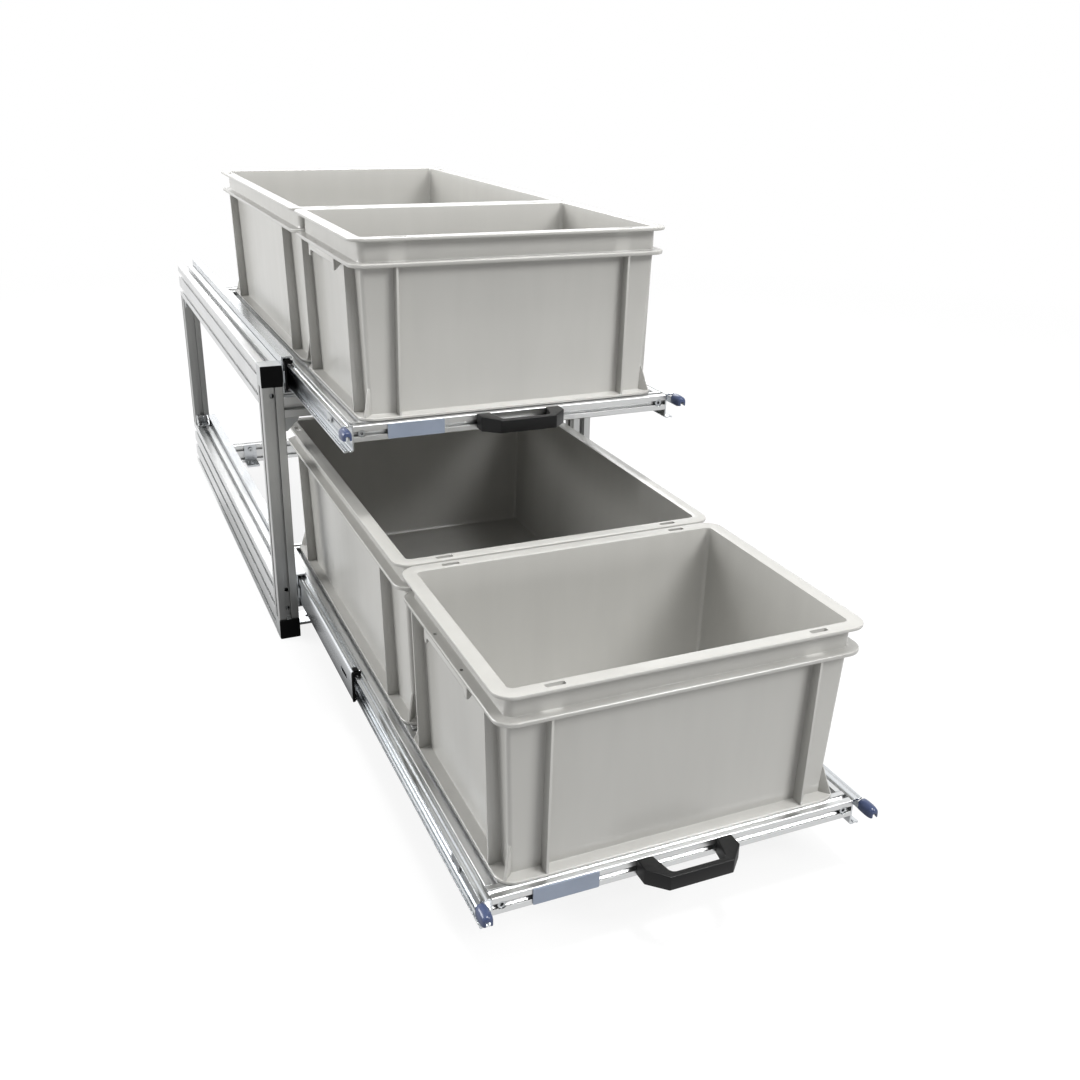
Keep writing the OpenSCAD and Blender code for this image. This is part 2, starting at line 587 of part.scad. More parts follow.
// Screws of a tray: corner joints, divider, handle and inner members, with their slot nuts
module cap_screw(l) {
    translate([0, bar_deep - 5, 0]) difference() {
        rod_y(8.5, 5);
        translate([0, -1, 0]) rod_y(4, 3.5);
    }
    translate([0, bar_deep, 0]) rod_y(bar_shank, l);
}
module small_nut(d) difference() {
    union() {
        translate([-bar_under / 2 + 0.5, -6, -bar_lip - 1.12]) cube([bar_under - 1, 12, 1.1]);
        translate([-bar_under * 0.3, -6, -bar_lip - 2.6]) cube([bar_under * 0.6, 12, 1.6]);
    }
    translate([0, 0, -bar_deep]) cylinder(d = d + 2 * thread_play, h = bar_deep);
}
module tray_screws(y, z) both() {
    at_end_screws(y, z) cap_screw(bar - bar_deep + 14);
    at_divider_screws(y, z) cap_screw(bar - bar_deep + 14);
    at_inner_screws(y, z) {
        difference() {
            cylinder(d1 = 4, d2 = 8, h = sheet_t);
            translate([0, 0, sheet_t - 0.8]) cylinder(d = 2.5, h = 2);
        }
        translate([0, 0, -5]) cylinder(d = 4, h = 5.1);
        small_nut(4);
    }
    translate([handle_x, y, z + tray_rise]) {
        translate([0, -8 - 3.5, 0]) difference() {
            rod_y(head_d - 0.6, 3.5);
            translate([0, -1, 0]) rod_y(4, 3);
        }
        translate([0, -8.1, 0]) rod_y(4.8, 8.1 + 5);
        rotate([90, 90, 0]) small_nut(4.8);
    }
}
module lower_tray_screws() placed() color(zinc) tray_screws(low_tray_y, low_z);
module upper_tray_screws() placed() color(zinc) tray_screws(up_tray_y, up_z);

// Lever: a steel strip that turns on a pin of the inner member, with a plastic grip in front
module lever_pins(y, z) both() at_pivot(y, z) {
    translate([0, 0, -strip_t / 2 - 2.1]) mirror([0, 0, 0]) cylinder(d = 7, h = 1);
    translate([0, 0, -strip_t / 2 - 1.2]) cylinder(d = 4, h = strip_t + 1.4);
    translate([0, 0, strip_t / 2 + 0.1])
        cylinder(d = 8, h = slide_t - sheet_t - strip_s - strip_t / 2 - 0.1);
    translate([0, 0, slide_t - sheet_t - strip_s - 0.1]) cylinder(d = 5, h = sheet_t + 0.1);
}
module lower_lever_pins() placed() color(zinc) lever_pins(low_tray_y, low_z);
module upper_lever_pins() placed() color(zinc) lever_pins(up_tray_y, up_z);
module lever(y, z) difference() {
    translate([xi - strip_s - strip_t / 2, y, z]) along_x(strip_t) polygon([[-16, strip_lo],
        [lever_pivot + 22, strip_lo], [lever_pivot + 22, strip_lo - 4], [lever_pivot + 26, strip_lo - 4],
        [lever_pivot + 26, strip_hi - 2], [lever_pivot + 20, strip_hi], [-16, strip_hi]]);
    at_pivot(y, z) translate([0, 0, -3]) cylinder(d = 4 + 2 * thread_play, h = 6);
}
module grip(y, z) translate([0, y - 1 - lever_grip_l, z + strip_lo + 2]) along_y(lever_grip_l)
    side_2d() difference() {
        translate([strip_s - 9, 0]) {
            square([12.5, 6]);
            translate([0, 1]) round_rect(12.5, 10.5, 3.2);
        }
        translate([strip_s - 6.5, -1]) square([6.5 + strip_t / 2, strip_hi - strip_lo - 1]);
    }
module lower_lever_right() placed() color(zinc) lever(low_tray_y, low_z);
module lower_lever_left() placed() color(zinc) mirror([1, 0, 0]) lever(low_tray_y, low_z);
module upper_lever_right() placed() color(zinc) lever(up_tray_y, up_z);
module upper_lever_left() placed() color(zinc) mirror([1, 0, 0]) lever(up_tray_y, up_z);
module lower_grip_right() placed() color(blue) grip(low_tray_y, low_z);
module lower_grip_left() placed() color(blue) mirror([1, 0, 0]) grip(low_tray_y, low_z);
module upper_grip_right() placed() color(blue) grip(up_tray_y, up_z);
module upper_grip_left() placed() color(blue) mirror([1, 0, 0]) grip(up_tray_y, up_z);

// Bin: layers of rounded rectangles, each a distance inside the rim's outline
wall_in = rim_w - bin_wall;
module layer(l, z, h, ins, r) translate([-bin_w / 2 + ins, ins, z])
    linear_extrude(h) round_rect(bin_w - 2 * ins, l - 2 * ins, r);
// Hand grip under the second flange: a hanging lip with a longer tab at each end
module grip_lip() {
    translate([-grip_l / 2, 1.5, bin_h - collar_drop - grip_lip_h]) cube([grip_l, 2.5, grip_lip_h + 1]);
    for (x = [-grip_l / 2, grip_l / 2 - 8]) translate([x, 1.5, bin_h - collar_drop - grip_tab_h])
        cube([8, 2.5, grip_tab_h + 1]);
}
// Places things at the outline's middle on the two sides that carry a grip, +Y pointing inwards
module at_grips(l, grip_x) for (a = grip_x ? [-90, 90] : [0, 180])
    translate([0, l / 2, 0]) rotate(a) translate([0, -(grip_x ? bin_w : l) / 2, 0]) children();
module lid_slot(x, y, w, d) translate([x - w / 2, y - d / 2, bin_h - rim_t - 1]) cube([w, d, rim_t + 2]);
module bin(l, grip_x) difference() {
    union() {
        layer(l, bin_h - rim_t, rim_t, 0, rim_r);
        layer(l, bin_h - collar_drop, collar_t, 1, rim_r - 1);
        layer(l, foot_h, bin_h - foot_h - 1, wall_in, rim_r / 2);
        layer(l, foot_h, 3.5, 6, rim_r);
        difference() {
            layer(l, 0, foot_h + 1, foot_in, 10);
            layer(l, -1, foot_h - floor_t + 5, foot_in + 3, 8);
        }
        // Ribs on the walls beside the corners
        for (x = [-1, 1]) translate([x * bin_w * rib_part - 1.5, 3, foot_h + 2])
            cube([3, l - 6, bin_h - collar_drop - foot_h - 1]);
        for (y = [-1, 1]) translate([-bin_w / 2 + 3, l / 2 + y * l * rib_part - 1.5, foot_h + 2])
            cube([bin_w - 6, 3, bin_h - collar_drop - foot_h - 1]);
        at_grips(l, grip_x) grip_lip();
    }
    layer(l, foot_h + floor_t, bin_h, rim_w, rim_r / 2 - 2);
    // The long bins have their rear lid slots in the side rims
    for (x = [-1, 1]) {
        lid_slot(x * (bin_w / 2 - lid_slot_in), 5.5 + lid_slot_w / 2, lid_slot_l, lid_slot_w);
        if (grip_x)
            lid_slot(x * (bin_w / 2 - lid_slot_in), l - 5.5 - lid_slot_w / 2, lid_slot_l, lid_slot_w);
        else lid_slot(x * (bin_w / 2 - 5.5 - lid_slot_w / 2), l - lid_slot_in, lid_slot_w, lid_slot_l);
    }
    at_grips(l, grip_x) for (x = [-40, 40]) translate([x, 5.7, bin_h - collar_drop - 1])
        cylinder(d = 3.6, h = collar_t + 2);
}
module bin_at(y, z, rear) translate([0, y + tray_end + (rear ? bin_front_l + bin_gap : 0),
    z + tray_rise + bar / 2 - foot_h]) bin(rear ? bin_rear_l : bin_front_l, !rear);
module lower_front_bin() placed() color(grey) bin_at(low_tray_y, low_z, false);
module lower_rear_bin() placed() color(grey) bin_at(low_tray_y, low_z, true);
module upper_front_bin() placed() color(grey) bin_at(up_tray_y, up_z, false);
module upper_rear_bin() placed() color(grey) bin_at(up_tray_y, up_z, true);

module placed() translate([0, y_off, 0]) children();

front_posts();
rear_posts();
lower_rail_left();
lower_rail_right();
upper_rail_left();
upper_rail_right();
front_crossbar();
rear_upper_crossbar();
rear_lower_crossbar();
corner_cubes();
cube_covers();
frame_screws();
corner_brackets();
bracket_screws();
floor_brackets();
slot_nuts();
lower_slide_outers();
upper_slide_outers();
slide_screws();
lower_outer_cages();
upper_outer_cages();
lower_inner_cages();
upper_inner_cages();
lower_slide_mids();
upper_slide_mids();
lower_mid_clips();
upper_mid_clips();
lower_slide_inners();
lower_front_bar();
lower_rear_bar();
lower_side_bars();
lower_divider_bar();
lower_handle();
lower_label_plate();
lower_tray_screws();
lower_lever_pins();
upper_slide_inners();
upper_front_bar();
upper_rear_bar();
upper_side_bars();
upper_divider_bar();
upper_handle();
upper_label_plate();
upper_tray_screws();
upper_lever_pins();
lower_lever_left();
lower_lever_right();
upper_lever_left();
upper_lever_right();
lower_grip_left();
lower_grip_right();
upper_grip_left();
upper_grip_right();
lower_front_bin();
lower_rear_bin();
upper_front_bin();
upper_rear_bin();
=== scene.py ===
# %% [markdown]
# # Pull-out bin frame
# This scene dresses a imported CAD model: an aluminium slot-profile frame with two trays on
# telescopic slides, four grey stacking bins, black handles and blue lock levers. The CAD gives
# every place and size. Blender adds the moulded shapes that CAD leaves plain, and all the finishes.

# %% Load the frame
import math

import bmesh
import bpy
from mathutils import Matrix, Vector


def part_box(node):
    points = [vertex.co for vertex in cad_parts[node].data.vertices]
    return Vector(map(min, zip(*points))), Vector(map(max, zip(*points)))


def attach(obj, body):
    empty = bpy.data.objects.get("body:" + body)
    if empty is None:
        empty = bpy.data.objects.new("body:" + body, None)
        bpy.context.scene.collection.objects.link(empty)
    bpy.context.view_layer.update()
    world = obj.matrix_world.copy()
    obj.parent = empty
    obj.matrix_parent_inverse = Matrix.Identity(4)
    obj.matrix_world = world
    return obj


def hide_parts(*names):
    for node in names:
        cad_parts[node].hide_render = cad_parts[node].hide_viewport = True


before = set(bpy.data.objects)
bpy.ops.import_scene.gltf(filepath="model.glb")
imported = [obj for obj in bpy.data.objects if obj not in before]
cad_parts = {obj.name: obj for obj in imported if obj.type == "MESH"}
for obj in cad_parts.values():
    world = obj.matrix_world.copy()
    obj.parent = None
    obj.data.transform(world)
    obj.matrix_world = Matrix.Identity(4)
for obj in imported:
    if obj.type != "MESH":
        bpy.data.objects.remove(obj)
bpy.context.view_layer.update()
# Sizes below are in millimetres; the scene is in metres
MM = 0.001


# %% [markdown]
# ## Small helpers
# Colours are written as the hex codes seen on a screen and turned into linear values in one place.
# `add` makes one shader node, sets its values and links its inputs, so each material below reads as
# a short recipe. Mesh pieces are built in millimetres from rings and plates and scaled at the end.

# %% Helpers
def rgb(code):
    """Linear colour of a screen hex code."""
    values = [int(code[i:i + 2], 16) / 255 for i in (1, 3, 5)]
    linear = [v / 12.92 if v <= 0.04045 else ((v + 0.055) / 1.055) ** 2.4 for v in values]
    return (*linear, 1)


def add(tree, kind, links=None, **values):
    """Adds one shader node; values are its properties or inputs, links its linked inputs."""
    node = tree.nodes.new("ShaderNode" + kind)
    for key, value in values.items():
        if key in node.bl_rna.properties:
            setattr(node, key, value)
        else:
            node.inputs[key.replace("_", " ")].default_value = value
    for key, source in (links or {}).items():
        tree.links.new(source, node.inputs[key])
    return node


def ramp(tree, source, low, high):
    """A colour ramp over source between two stops, each (place, colour)."""
    node = add(tree, "ValToRGB", {"Fac": source})
    for element, (place, colour) in zip(node.color_ramp.elements, (low, high)):
        element.position, element.color = place, colour
    return node.outputs["Color"]


def grain(tree, scale_mm, stretch=(1, 1, 1), detail=3, rough=0.55):
    """Noise scale_mm across in Object coordinates, drawn out where stretch is over 1."""
    place = add(tree, "TexCoord").outputs["Object"]
    fitted = add(tree, "Mapping", {"Vector": place}, Scale=tuple(1 / s for s in stretch))
    return add(tree, "TexNoise", {"Vector": fitted.outputs["Vector"]}, Scale=1 / (scale_mm * MM),
               Detail=detail, Roughness=rough).outputs["Fac"]


def spread(tree, source, low, high):
    """source's usual range, 0.3 to 0.7, mapped to low..high."""
    return add(tree, "MapRange", {"Value": source}, From_Min=0.3, From_Max=0.7, To_Min=low,
               To_Max=high).outputs["Result"]


def new_material(name):
    material = bpy.data.materials.new(name)
    material.use_nodes = True
    tree = material.node_tree
    return material, tree, tree.nodes["Principled BSDF"]


def soft_edges(tree, radius_mm):
    """A normal that rounds the piece's edges off in shading."""
    return add(tree, "Bevel", samples=6, Radius=radius_mm * MM).outputs["Normal"]


def bump(tree, height, normal, depth_mm):
    """A normal with the relief of height, depth_mm deep, on top of another normal."""
    return add(tree, "Bump", {"Height": height, "Normal": normal}, Strength=1.0,
               Distance=depth_mm * MM).outputs["Normal"]


# %% [markdown]
# ## Metal finishes
# Anodised aluminium profile is drawn through a die, so it shows fine lines along its length and a
# satin sheen with a slight change of tint. The lines are noise stretched along the profile's axis.
# The slides are zinc-plated cold-rolled sheet: brighter, a little blue, with faint spangle.
# On every metal, slots and corners are darkened with painted shade.

# %% Metal materials
# Size of the patches of tint, and the reach of the painted shade: slots up to this width look dark
PATCH_MM, PAINTED_SHADE_MM = 90, 7


def metal(name, dark, light, rough, stretch, line_mm=0.35, depth_mm=0.003, edge_mm=0.4, shade=0.3):
    material, tree, skin = new_material(name)
    lines = grain(tree, line_mm, stretch, 3)
    patches = grain(tree, PATCH_MM, detail=1, rough=0.5)
    tint = ramp(tree, patches, (0.3, rgb(dark)), (0.7, rgb(light)))
    # Painted shade: ambient occlusion darkens the colour in slots and corners, so they look darker
    # than the open faces
    depth = add(tree, "AmbientOcclusion", samples=6, Distance=PAINTED_SHADE_MM * MM).outputs["AO"]
    painted_crevice_shade = add(tree, "MapRange", {"Value": depth}, From_Min=0.1, From_Max=0.6, To_Min=shade,
                    To_Max=1).outputs["Result"]
    tint_and_painted_shade = add(tree, "Mix", data_type="RGBA", blend_type="MULTIPLY")
    tint_and_painted_shade.inputs["Factor"].default_value = 1
    tree.links.new(tint, tint_and_painted_shade.inputs["A"])
    tree.links.new(painted_crevice_shade, tint_and_painted_shade.inputs["B"])
    skin.inputs["Metallic"].default_value = 1
    tree.links.new(tint_and_painted_shade.outputs["Result"], skin.inputs["Base Color"])
    tree.links.new(spread(tree, lines, rough - 0.03, rough + 0.03), skin.inputs["Roughness"])
    tree.links.new(bump(tree, lines, soft_edges(tree, edge_mm), depth_mm), skin.inputs["Normal"])
    return material


ALONG_X, ALONG_Y, ALONG_Z = (60, 1, 1), (1, 60, 1), (1, 1, 60)
# The upright (z) profiles get darker colours: painted shade that dims the posts' faces
anodised = {axis: metal("anodised_aluminium_" + axis, dark, light, 0.32, stretch)
            for axis, dark, light, stretch in (("x", "#D3D4D4", "#DBDCDC", ALONG_X),
                                               ("y", "#D3D4D4", "#DBDCDC", ALONG_Y),
                                               ("z", "#B8B9B8", "#C0C1C0", ALONG_Z))}
cast = metal("cast_aluminium", "#B4B6B7", "#C0C2C2", 0.44, (1, 1, 1), 0.6, 0.015, 0.6)
zinc_sheet = metal("zinc_plated_slide", "#D2D5D8", "#DADDDF", 0.24, ALONG_Y, 0.5, 0.002, 0.4)
bright_steel = metal("zinc_plated_strip", "#C2C5C9", "#CDD0D2", 0.28, ALONG_Y, 0.4, 0.004, 0.3)
bolt_steel = metal("zinc_plated_bolt", "#B4B7BA", "#C4C7C8", 0.3, (1, 1, 1), 0.5, 0.008, 0.3, 0.2)


# %% [markdown]
# ## Plastic finishes
# The bins are moulded polypropylene in a warm light grey, smooth and a little glossy, with faint
# flow marks that run up the walls. The handles and covers are black nylon with a fine grain that
# takes the shine off. The lever grips are smooth blue plastic, and the plates bare blue-grey film.

# %% Plastic materials
# Size of the flow marks, and how they stretch on a bin's walls
FLOW_MM, UP_THE_WALL = 24, (1, 1, 6)
PLASTIC_IOR = 1.49


def plastic(name, dark, light, rough, grain_mm=0, depth_mm=0, marks=(1, 1, 1), edge_mm=0.5,
            shine=0.5):
    material, tree, skin = new_material(name)
    flow = grain(tree, FLOW_MM, marks, 2, 0.5)
    colour = ramp(tree, flow, (0.2, rgb(dark)), (0.8, rgb(light)))
    tree.links.new(colour, skin.inputs["Base Color"])
    skin.inputs["Roughness"].default_value = rough
    normal = soft_edges(tree, edge_mm)
    if grain_mm:
        normal = bump(tree, grain(tree, grain_mm, detail=2), normal, depth_mm)
    tree.links.new(normal, skin.inputs["Normal"])
    skin.inputs["IOR"].default_value = PLASTIC_IOR
    skin.inputs["Specular IOR Level"].default_value = shine
    return material


bin_grey = plastic("bin_polypropylene", "#ABAAA6", "#AFAEAA", 0.26, marks=UP_THE_WALL, shine=0.75)
nylon_black = plastic("handle_black_nylon", "#040405", "#070708", 0.42, 0.45, 0.01, shine=0.32)
cover_black = plastic("cover_black_plastic", "#050505", "#080809", 0.5, 0.5, 0.01, shine=0.12)
grip_blue = plastic("lever_blue_plastic", "#364160", "#404B69", 0.26, 1.2, 0.004, edge_mm=0.3)
plate_blue = plastic("plate_blue_film", "#808998", "#8A93A3", 0.36, 0.8, 0.004, edge_mm=0.3)


# %% [markdown]
# ## Finishes for the CAD pieces
# Each CAD piece keeps its shape and gets its finish by name. Profiles that run along X, Y or Z get
# the drawn lines along that axis; the upright posts also get a darker tint that is painted shade.

# %% Dress the CAD nodes
def finish_of(name):
    if "label" in name:
        return plate_blue
    if "clips" in name or "covers" in name:
        return cover_black
    if "handle" in name:
        return nylon_black
    if "grip" in name:
        return grip_blue
    if "bin" in name:
        return bin_grey
    if "outers" in name or "mids" in name or "inners" in name:
        return zinc_sheet
    if "lever_pins" in name or "screws" in name or "nuts" in name:
        return bolt_steel
    if "cages" in name or "lever" in name or name == "floor_brackets":
        return bright_steel
    if name in ("corner_cubes", "corner_brackets"):
        return cast
    # Posts take the darker anodising, whose extra darkness is painted shade
    if "posts" in name:
        return anodised["z"]
    return anodised["y" if "rail" in name or "side_bars" in name else "x"]


def dress(obj, material):
    obj.data.materials.clear()
    obj.data.materials.append(material)


for node_name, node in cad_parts.items():
    dress(node, finish_of(node_name))


# %% [markdown]
# ## Building moulded pieces
# A moulded bin is one skin: rings of a rounded rectangle, stacked from the foot up the outside,
# over the rim and down the inside to the floor. Ribs, webs and lips are thin plates with eased
# edges that stand in the same mesh.

# %% Mesh builders
CORNER_STEPS = 7


def ring(bm, low, high, inset, z, radius):
    """Vertices of a rounded rectangle inset from the box low..high, at height z."""
    centres = ((high[0] - inset - radius, high[1] - inset - radius, 0),
               (low[0] + inset + radius, high[1] - inset - radius, 90),
               (low[0] + inset + radius, low[1] + inset + radius, 180),
               (high[0] - inset - radius, low[1] + inset + radius, 270))
    verts = []
    for x, y, start in centres:
        for i in range(CORNER_STEPS + 1):
            angle = math.radians(start + 90 * i / CORNER_STEPS)
            verts.append(bm.verts.new((x + radius * math.cos(angle),
                                       y + radius * math.sin(angle), z)))
    return verts


def loft(bm, rings):
    """Skins neighbouring rings and closes the first and last ones."""
    for below, above in zip(rings, rings[1:]):
        for i in range(len(below)):
            j = (i + 1) % len(below)
            bm.faces.new((below[i], below[j], above[j], above[i]))
    bm.faces.new(list(reversed(rings[0])))
    bm.faces.new(rings[-1])


def plate(bm, outline, origin, across, up, thick, ease=0.4):
    """A plate with eased edges; outline points (a, b) lie at origin + a across + b up."""
    across, up = Vector(across).normalized(), Vector(up)
    side = across.cross(up).normalized() * (thick / 2)
    origin = Vector(origin)
    front = [bm.verts.new(origin + across * a + up * b - side) for a, b in outline]
    back = [bm.verts.new(origin + across * a + up * b + side) for a, b in outline]
    faces = [bm.faces.new(front), bm.faces.new(list(reversed(back)))]
    for i in range(len(outline)):
        j = (i + 1) % len(outline)
        faces.append(bm.faces.new((front[j], front[i], back[i], back[j])))
    edges = list(dict.fromkeys(edge for face in faces for edge in face.edges))
    bmesh.ops.bevel(bm, geom=edges, offset=ease, offset_type="OFFSET", segments=2, profile=0.5,
                    affect="EDGES", clamp_overlap=True, material=-1)


def build(bm, name, body, material, nodes, sharp=35):
    """Turns a mesh in millimetres into a piece that rides on a body and replaces CAD nodes."""
    bmesh.ops.remove_doubles(bm, verts=bm.verts, dist=0.0005)
    bmesh.ops.recalc_face_normals(bm, faces=bm.faces)
    bmesh.ops.scale(bm, vec=(MM, MM, MM), verts=bm.verts)
    limit = math.radians(sharp)
    for edge in bm.edges:
        edge.smooth = not edge.is_manifold or edge.calc_face_angle() < limit
    for face in bm.faces:
        face.smooth = True
    mesh = bpy.data.meshes.new(name)
    bm.to_mesh(mesh)
    bm.free()
    obj = bpy.data.objects.new(name, mesh)
    bpy.context.scene.collection.objects.link(obj)
    dress(obj, material)
    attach(obj, body)
    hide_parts(*nodes)


def box_mm(node_name):
    """Low and high corner of a CAD node's box, in millimetres."""
    low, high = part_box(node_name)
    return Vector(low) / MM, Vector(high) / MM


# %% [markdown]
# ## The bins
# Reading a bin from below: a foot ring that drops between the tray bars, a base flange that flares
# out over the bars, a wall that leans out towards the top, a second flange with an open neck above
# it, and the flat rim with its lid slots. Plate ribs stand beside the corners from the base to the
# second flange, and a small web runs out along each corner's diagonal at the base.

# %% Bins
# Depths below the rim's top: the rim's underside, and the second flange's upper and lower faces
RIM_LOW, COLLAR_TOP, COLLAR_LOW = 4, 28, 33
# Heights above the foot: where plates start inside the base flange, and the floor
PLATE_LOW, FLOOR = 13.8, 13.5
# Distance of a rib from the middle of its side, as a part of the side's length
RIB_PART = 0.365
# Lid slots in the rim: distance from its end and from its edge, length, width and depth of the cut
SLOT_END, SLOT_EDGE, SLOT_LONG, SLOT_WIDE, CUT_DEEP = 58, 8.5, 20, 6, 8
# Small holes in the second flange: distance from the rim's edge and from the middle, and width
HOLE_EDGE, HOLE_OFF, HOLE_WIDE = 5.7, 40, 3.6


def skin_rings(height):
    """(inset, height, radius) of each ring, from the foot's recess over the rim to the floor."""
    low, top, under = height - COLLAR_LOW, height - COLLAR_TOP, height - RIM_LOW
    foot = [(21.4, 8.4, 6), (21, 0.5, 6.2), (20.5, 0, 6.6), (18.6, 0, 8), (18, 0.6, 8.4),
            (18, 9.4, 8.4), (17.2, 9.9, 9)]
    base_flange = [(8, 10, 18), (6.5, 10.2, 19.3), (6, 10.8, 19.8), (6, 13.2, 19.8),
                   (6.6, 13.9, 19.2), (8, 14, 18), (18.6, 14.2, 6.4), (19.7, 14.8, 5.4)]
    wall = [(20, 16, 5), (14, low - 5, 5), (13.6, low - 1.2, 5.4), (12.4, low - 0.1, 6.2)]
    collar = [(3, low, 17.6), (1.6, low + 0.3, 18.6), (1, low + 1.2, 19), (1, top - 1, 19),
              (1.6, top - 0.2, 18.6), (3, top, 17.6), (11, top, 10.6), (12, top + 0.4, 9.8)]
    neck = [(12.4, top + 1.6, 9.4), (12.4, under - 2, 9.4), (11.6, under - 0.4, 10)]
    rim = [(10.4, under, 11), (1.4, under, 18.8), (0.4, under + 0.3, 19.6), (0, under + 0.9, 20),
           (0, height - 0.9, 20), (0.3, height - 0.25, 19.7), (1, height, 19.1),
           (15, height, 6.6), (15.8, height - 0.3, 6), (16.1, height - 1.2, 5.8)]
    inside = [(16.9, height - 40, 4.6), (22.8, 20, 4), (23.4, 17, 5), (24.8, 14.4, 6),
              (27, FLOOR, 7), (29, FLOOR, 7)]
    return foot + base_flange + wall + collar + neck + rim + inside


def cut_boxes(bm, boxes):
    """Cuts boxes, each (centre, size) in millimetres, out of a closed skin and returns the rest."""
    tool = bmesh.new()
    for centre, size in boxes:
        made = bmesh.ops.create_cube(tool, size=1)["verts"]
        bmesh.ops.scale(tool, vec=size, verts=made)
        bmesh.ops.translate(tool, vec=centre, verts=made)
        upright = [e for e in dict.fromkeys(e for v in made for e in v.link_edges)
                   if abs(e.verts[0].co.z - e.verts[1].co.z) > 0.5 * size[2]]
        bmesh.ops.bevel(tool, geom=upright, offset=min(size[:2]) * 0.3, offset_type="OFFSET",
                        segments=3, profile=0.5, affect="EDGES", material=-1)
    made = []
    for part in (bm, tool):
        bmesh.ops.recalc_face_normals(part, faces=part.faces)
        mesh = bpy.data.meshes.new("cutting")
        part.to_mesh(mesh)
        part.free()
        made.append(bpy.data.objects.new("cutting", mesh))
        bpy.context.scene.collection.objects.link(made[-1])
    change = made[0].modifiers.new("slots", "BOOLEAN")
    change.object, change.operation, change.solver = made[1], "DIFFERENCE", "EXACT"
    graph = bpy.context.evaluated_depsgraph_get()
    result = bpy.data.meshes.new_from_object(made[0].evaluated_get(graph))
    rest = bmesh.new()
    rest.from_mesh(result)
    for obj in made:
        mesh = obj.data
        bpy.data.objects.remove(obj)
        bpy.data.meshes.remove(mesh)
    bpy.data.meshes.remove(result)
    return rest


def rim_cuts(middle, width, length, top, grips_on_x):
    """Boxes (centre, size) of the four lid slots and the four small holes in the second flange."""
    boxes = []
    for sx in (-1, 1):
        for sy in (-1, 1):
            if sy < 0 or grips_on_x:
                in_x, in_y, size = SLOT_END, SLOT_EDGE, (SLOT_LONG, SLOT_WIDE, CUT_DEEP)
            else:
                in_x, in_y, size = SLOT_EDGE, SLOT_END, (SLOT_WIDE, SLOT_LONG, CUT_DEEP)
            boxes.append(((middle.x + sx * (width / 2 - in_x), middle.y + sy * (length / 2 - in_y),
                           top - 1.5), size))
    for side in (-1, 1):
        for along in (-HOLE_OFF, HOLE_OFF):
            if grips_on_x:
                place = (middle.x + side * (width / 2 - HOLE_EDGE), middle.y + along)
            else:
                place = (middle.x + along, middle.y + side * (length / 2 - HOLE_EDGE))
            boxes.append(((*place, top - COLLAR_TOP - 2.5), (HOLE_WIDE, HOLE_WIDE, CUT_DEEP)))
    return boxes


def hand_grip(bm, edge, inward, sideways, top):
    """A lip that hangs from the second flange, with a web at each end."""
    # Half of the lip: (distance from its middle, depth below the flange)
    half = [(54, 6.2), (56.4, 7.6), (57, 12.6), (58.5, 14.2), (63.5, 14.2), (65, 13), (65, 0)]
    lip = [(-a, top - deep) for a, deep in reversed(half)] + [(a, top - deep) for a, deep in half]
    plate(bm, lip, edge + inward * 2.8, sideways, (0, 0, 1), 2.4, 0.5)
    web = [(2.2, top), (2.2, top - 12.6), (4, top - 13.6), (9, top - 8), (15, top - 2), (15, top)]
    for sign in (-1, 1):
        plate(bm, web, edge + sideways * sign * 63.6, inward, (0, 0, 1), 2.2)


def make_bin(node_name, body, grips_on_x):
    low, high = box_mm(node_name)
    base, height = low.z, high.z - low.z
    width, length = high.x - low.x, high.y - low.y
    middle = (low + high) / 2
    bm = bmesh.new()
    loft(bm, [ring(bm, low, high, inset, base + z, radius)
              for inset, z, radius in skin_rings(height)])
    bm = cut_boxes(bm, rim_cuts(middle, width, length, high.z, grips_on_x))
    top = height - COLLAR_LOW + 0.2
    # Plates: (distance from the rim's outline, or from its corner, and height) round the edge
    rib = [(21.5, PLATE_LOW), (6.5, PLATE_LOW), (6.3, 16), (1.9, top), (15.5, top)]
    gusset = [(34, PLATE_LOW), (17.4, PLATE_LOW), (17.4, 15.5), (27.6, 44), (28.8, 46.5),
              (34, 46.5)]
    for (nx, ny), deep, wide in (((0, 1), length, width), ((0, -1), length, width),
                                 ((1, 0), width, length), ((-1, 0), width, length)):
        inward, sideways = Vector((nx, ny, 0)), Vector((-ny, nx, 0))
        edge = Vector((middle.x, middle.y, base)) - inward * (deep / 2)
        for sign in (-1, 1):
            plate(bm, rib, edge + sideways * sign * wide * RIB_PART, inward, (0, 0, 1), 2.6)
        if (nx != 0) == grips_on_x:
            hand_grip(bm, edge, inward, sideways, top)
    for sx in (-1, 1):
        for sy in (-1, 1):
            corner = Vector((middle.x + sx * width / 2, middle.y + sy * length / 2, base))
            plate(bm, gusset, corner, (-sx, -sy, 0), (0, 0, 1), 2.8)
    build(bm, node_name + "_moulding", body, bin_grey, (node_name,))


for level in ("lower", "upper"):
    make_bin(f"{level}_front_bin", f"{level}_front_box", True)
    make_bin(f"{level}_rear_bin", f"{level}_rear_box", False)


# %% [markdown]
# ## The handles
# Each handle is one nylon bridge. Its plan is a broad U with the corners cut off; the feet are
# taller than the grip bar, whose edges are rounded for the fingers. The CAD piece also has round
# pockets for its screws, which are left out here.

# %% Handles
# Width of a foot along the handle, width of the grip bar, and how much lower the bar is below
FOOT_WIDE, BAR_WIDE, BAR_DROP = 17, 7, 1.2


def mirrored(points):
    return [(-x, y) for x, y in reversed(points)]


